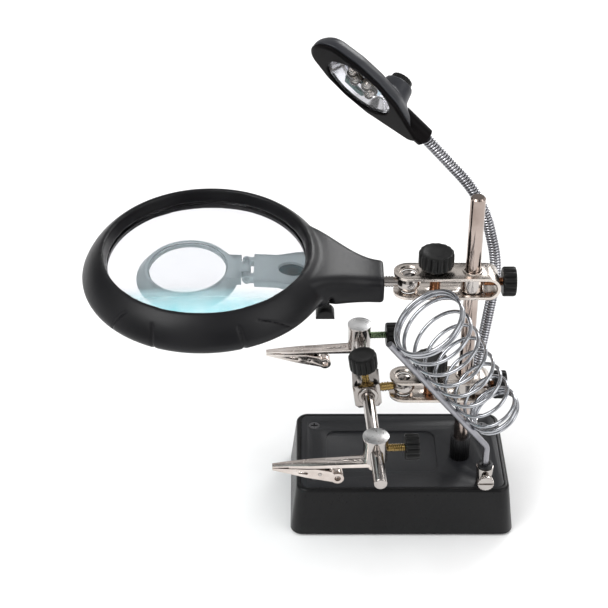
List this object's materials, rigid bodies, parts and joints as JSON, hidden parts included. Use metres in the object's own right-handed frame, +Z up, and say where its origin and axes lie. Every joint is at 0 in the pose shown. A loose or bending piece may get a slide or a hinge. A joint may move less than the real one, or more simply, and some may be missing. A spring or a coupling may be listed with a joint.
{
  "type": "helping hands magnifier stand",
  "caption": "Bench stand with a weighted base and pole holding a ring magnifier, gripping clips on a cross rod, a coiled iron holder and a gooseneck lamp.",
  "frame": {"origin": "centre of the base's footprint on the surface it stands on", "axes": "+X towards the pole's side of the base, +Y towards the back, where the gooseneck rises, +Z up"},
  "size_m": [0.2049, 0.1274, 0.2414],
  "materials": {
    "black_abs": "satin black moulded plastic",
    "base_black": "satin dark grey moulding",
    "rubber": "matt black rubber",
    "ballast": "rough casting",
    "nickel": "bright nickel plate",
    "nickel_strip": "nickel-plated pressed strip",
    "pole_nickel": "polished nickel plate",
    "chrome_wire": "bright chrome wire",
    "clip_steel": "nickel-plated spring steel",
    "screw_black": "black oxide",
    "knob_black": "moulded knob with metal screw",
    "lens_glass": "clear lens",
    "frosted": "frosted translucent plastic",
    "hose_metal": "wound metal hose",
    "lamp_black": "semi-gloss black moulding",
    "reflector": "metallised plastic",
    "led": "clear light-emitting diode",
    "contact": "nickel-plated contact",
    "jack": "black plastic and steel",
    "grey_plastic": "plain moulding"
  },
  "bodies": {
    "stand": {"base_shell": "base_black", "base_top_plate": "base_black", "base_screws": "screw_black", "ballast_weight": "ballast", "bottom_cover": "base_black", "battery_holder": "grey_plastic", "battery_contacts": "contact", "non_slip_pad": "rubber", "dc_jack": "jack", "pole": "pole_nickel", "pole_collar": "screw_black", "iron_socket": "nickel", "hose_gland": "nickel"},
    "battery_door": {"battery_door": "base_black"},
    "upper_slider": {"upper_pole_bush": "nickel"},
    "upper_clamp": {"upper_bracket": "nickel_strip"},
    "upper_side_knob": {"upper_side_knob": "knob_black"},
    "upper_ball_knob": {"upper_ball_knob": "knob_black"},
    "upper_ball": {"upper_ball": "nickel"},
    "upper_stud": {"upper_stud": "nickel"},
    "magnifier": {"magnifier_frame": "black_abs", "lens_retainer": "black_abs", "main_lens": "lens_glass", "led_arm": "frosted"},
    "auxiliary_magnifier": {"auxiliary_frame": "frosted", "auxiliary_lens": "lens_glass"},
    "magnifier_switch": {"magnifier_switch": "black_abs"},
    "lower_slider": {"lower_pole_bush": "nickel"},
    "lower_clamp": {"lower_bracket": "nickel_strip"},
    "lower_side_knob": {"lower_side_knob": "knob_black"},
    "lower_ball_knob": {"lower_ball_knob": "knob_black"},
    "lower_ball": {"lower_ball": "nickel"},
    "lower_stud": {"lower_stud": "nickel"},
    "fitting": {"fitting_block": "nickel"},
    "fitting_knob": {"fitting_knob": "knob_black"},
    "rod_carrier": {"rod_bush": "nickel"},
    "cross_rod": {"cross_rod": "nickel"},
    "rear_clip_block": {"rear_clip_block": "nickel"},
    "rear_block_knob": {"rear_block_knob": "knob_black"},
    "rear_clip": {"rear_upper_jaw": "clip_steel", "rear_clip_pin": "clip_steel"},
    "rear_jaw": {"rear_lower_jaw": "clip_steel"},
    "front_clip_block": {"front_clip_block": "nickel"},
    "front_block_knob": {"front_block_knob": "knob_black"},
    "front_clip": {"front_upper_jaw": "clip_steel", "front_clip_pin": "clip_steel"},
    "front_jaw": {"front_lower_jaw": "clip_steel"},
    "holder_swivel": {"socket_bush": "screw_black"},
    "iron_holder": {"holder_rod": "chrome_wire", "holder_coil": "chrome_wire"},
    "socket_screw": {"socket_screw": "nickel"},
    "hose_lower": {"hose_lower": "hose_metal"},
    "hose_middle": {"hose_middle": "hose_metal"},
    "hose_upper": {"hose_upper": "hose_metal"},
    "lamp": {"lamp_lower_shell": "lamp_black", "lamp_upper_shell": "lamp_black", "lamp_reflector": "reflector", "lamp_leds": "led", "lamp_window": "lens_glass"},
    "lamp_switch": {"lamp_switch": "lamp_black"}
  },
  "joints": [
    {"name": "battery_door_removal", "type": "slide", "parent": "stand", "child": "battery_door", "axis": [0, 0, -1], "range_m": [0, 0.02]},
    {"name": "upper_bracket_slide", "type": "slide", "parent": "stand", "child": "upper_slider", "axis": [0, 0, 1], "range_m": [-0.025, 0.022]},
    {"name": "upper_bracket_swing", "type": "hinge", "parent": "upper_slider", "child": "upper_clamp", "pos_m": [0.0294, -0.004, 0.131], "axis": [0, 0, 1], "range_deg": [-35, 12]},
    {"name": "upper_side_knob_turn", "type": "hinge", "parent": "upper_clamp", "child": "upper_side_knob", "pos_m": [0.0414, -0.004, 0.131], "axis": [1, 0, 0], "range_deg": [-90, 360]},
    {"name": "upper_ball_knob_turn", "type": "hinge", "parent": "upper_clamp", "child": "upper_ball_knob", "pos_m": [0.0123, -0.004, 0.131], "axis": [0, 0, 1], "range_deg": [-90, 360]},
    {"name": "lower_bracket_slide", "type": "slide", "parent": "stand", "child": "lower_slider", "axis": [0, 0, 1], "range_m": [-0.018, 0.018]},
    {"name": "lower_bracket_swing", "type": "hinge", "parent": "lower_slider", "child": "lower_clamp", "pos_m": [0.0294, -0.004, 0.0715], "axis": [0, 0, 1], "range_deg": [-4, 14]},
    {"name": "lower_side_knob_turn", "type": "hinge", "parent": "lower_clamp", "child": "lower_side_knob", "pos_m": [0.0414, -0.004, 0.0715], "axis": [1, 0, 0], "range_deg": [-90, 360]},
    {"name": "lower_ball_knob_turn", "type": "hinge", "parent": "lower_clamp", "child": "lower_ball_knob", "pos_m": [0.0123, -0.004, 0.0715], "axis": [0, 0, 1], "range_deg": [-90, 360]},
    {"name": "magnifier_yaw", "type": "hinge", "parent": "upper_clamp", "child": "upper_ball", "pos_m": [0, -0.004, 0.131], "axis": [0, 0, 1], "range_deg": [-50, 8]},
    {"name": "magnifier_tilt", "type": "hinge", "parent": "upper_ball", "child": "upper_stud", "pos_m": [0, -0.004, 0.131], "axis": [0, 1, 0], "range_deg": [-12, 12]},
    {"name": "magnifier_roll", "type": "hinge", "parent": "upper_stud", "child": "magnifier", "pos_m": [0, -0.004, 0.131], "axis": [1, 0, 0], "range_deg": [-60, 60]},
    {"name": "auxiliary_lens_flip", "type": "hinge", "parent": "magnifier", "child": "auxiliary_magnifier", "pos_m": [-0.075, -0.00437, 0.13569], "axis": [0, -0.9969, -0.0785], "range_deg": [0, 105]},
    {"name": "magnifier_switch_slide", "type": "slide", "parent": "magnifier", "child": "magnifier_switch", "axis": [-1, 0, 0], "range_m": [0, 0.0026]},
    {"name": "fitting_yaw", "type": "hinge", "parent": "lower_clamp", "child": "lower_ball", "pos_m": [0, -0.004, 0.0715], "axis": [0, 0, 1], "range_deg": [-8, 14]},
    {"name": "fitting_tilt", "type": "hinge", "parent": "lower_ball", "child": "lower_stud", "pos_m": [0, -0.004, 0.0715], "axis": [0, -1, 0], "range_deg": [-16, 3]},
    {"name": "fitting_roll", "type": "hinge", "parent": "lower_stud", "child": "fitting", "pos_m": [0, -0.004, 0.0715], "axis": [0.9903, 0, 0.1392], "range_deg": [-15, 15]},
    {"name": "fitting_knob_turn", "type": "hinge", "parent": "fitting", "child": "fitting_knob", "pos_m": [-0.01967, -0.004, 0.08287], "axis": [-0.1392, 0, 0.9903], "range_deg": [-90, 360]},
    {"name": "rod_turn", "type": "hinge", "parent": "fitting", "child": "rod_carrier", "pos_m": [-0.01773, -0.004, 0.06901], "axis": [0.0523, -0.9986, 0], "range_deg": [-20, 20]},
    {"name": "rod_slide", "type": "slide", "parent": "rod_carrier", "child": "cross_rod", "axis": [-0.0523, 0.9986, 0], "range_m": [-0.012, 0.012]},
    {"name": "rear_block_slide", "type": "slide", "parent": "cross_rod", "child": "rear_clip_block", "axis": [-0.0523, 0.9986, 0], "range_m": [-0.014, 0.004]},
    {"name": "rear_block_knob_turn", "type": "hinge", "parent": "rear_clip_block", "child": "rear_block_knob", "pos_m": [-0.00808, 0.04117, 0.06901], "axis": [0.9986, 0.0523, 0], "range_deg": [-90, 360]},
    {"name": "rear_clip_yaw", "type": "hinge", "parent": "rear_clip_block", "child": "rear_clip", "pos_m": [-0.02006, 0.04054, 0.06101], "axis": [0, 0, 1], "range_deg": [-25, 30]},
    {"name": "rear_jaw_open", "type": "hinge", "parent": "rear_clip", "child": "rear_jaw", "pos_m": [-0.04573, 0.03919, 0.05651], "axis": [0.0523, -0.9986, 0], "range_deg": [0, 14], "stiffness_Nm_per_rad": 0.05, "springref_deg": -17.19},
    {"name": "front_block_slide", "type": "slide", "parent": "cross_rod", "child": "front_clip_block", "axis": [-0.0523, 0.9986, 0], "range_m": [-0.012, 0.018]},
    {"name": "front_block_knob_turn", "type": "hinge", "parent": "front_clip_block", "child": "front_block_knob", "pos_m": [-0.00337, -0.04871, 0.06901], "axis": [0.9986, 0.0523, 0], "range_deg": [-90, 360]},
    {"name": "front_clip_yaw", "type": "hinge", "parent": "front_clip_block", "child": "front_clip", "pos_m": [-0.01535, -0.04934, 0.06101], "axis": [0, 0, 1], "range_deg": [-35, 25]},
    {"name": "front_jaw_open", "type": "hinge", "parent": "front_clip", "child": "front_jaw", "pos_m": [-0.04102, -0.05068, 0.05651], "axis": [0.0523, -0.9986, 0], "range_deg": [0, 14], "stiffness_Nm_per_rad": 0.05, "springref_deg": -17.19},
    {"name": "holder_turn", "type": "hinge", "parent": "stand", "child": "holder_swivel", "pos_m": [0.0395, -0.0252, 0.035], "axis": [0, 0, 1], "range_deg": [0, 75]},
    {"name": "holder_lift", "type": "slide", "parent": "holder_swivel", "child": "iron_holder", "axis": [0, 0, 1], "range_m": [0, 0.008]},
    {"name": "socket_screw_turn", "type": "hinge", "parent": "stand", "child": "socket_screw", "pos_m": [0.0395, -0.0312, 0.033], "axis": [0, -1, 0], "range_deg": [-90, 360]},
    {"name": "hose_bend_base", "type": "hinge", "parent": "stand", "child": "hose_lower", "pos_m": [0.0354, 0.022, 0.034], "axis": [0, 1, 0], "range_deg": [-5, 6]},
    {"name": "hose_bend_low", "type": "hinge", "parent": "hose_lower", "child": "hose_middle", "pos_m": [0.0415, 0.022, 0.09112], "axis": [-1, 0, 0], "range_deg": [-8, 12]},
    {"name": "hose_bend_high", "type": "hinge", "parent": "hose_middle", "child": "hose_upper", "pos_m": [0.03897, 0.022, 0.14457], "axis": [0, 1, 0], "range_deg": [-14, 16]},
    {"name": "lamp_tilt", "type": "hinge", "parent": "hose_upper", "child": "lamp", "pos_m": [0.007, 0.022, 0.1915], "axis": [-1, 0, 0], "range_deg": [-15, 15]},
    {"name": "lamp_switch_press", "type": "slide", "parent": "lamp", "child": "lamp_switch", "axis": [-0.5078, -0.7071, -0.4921], "range_m": [0, 0.0012], "stiffness_N_per_m": 400, "springref_m": -0.002}
  ]
}
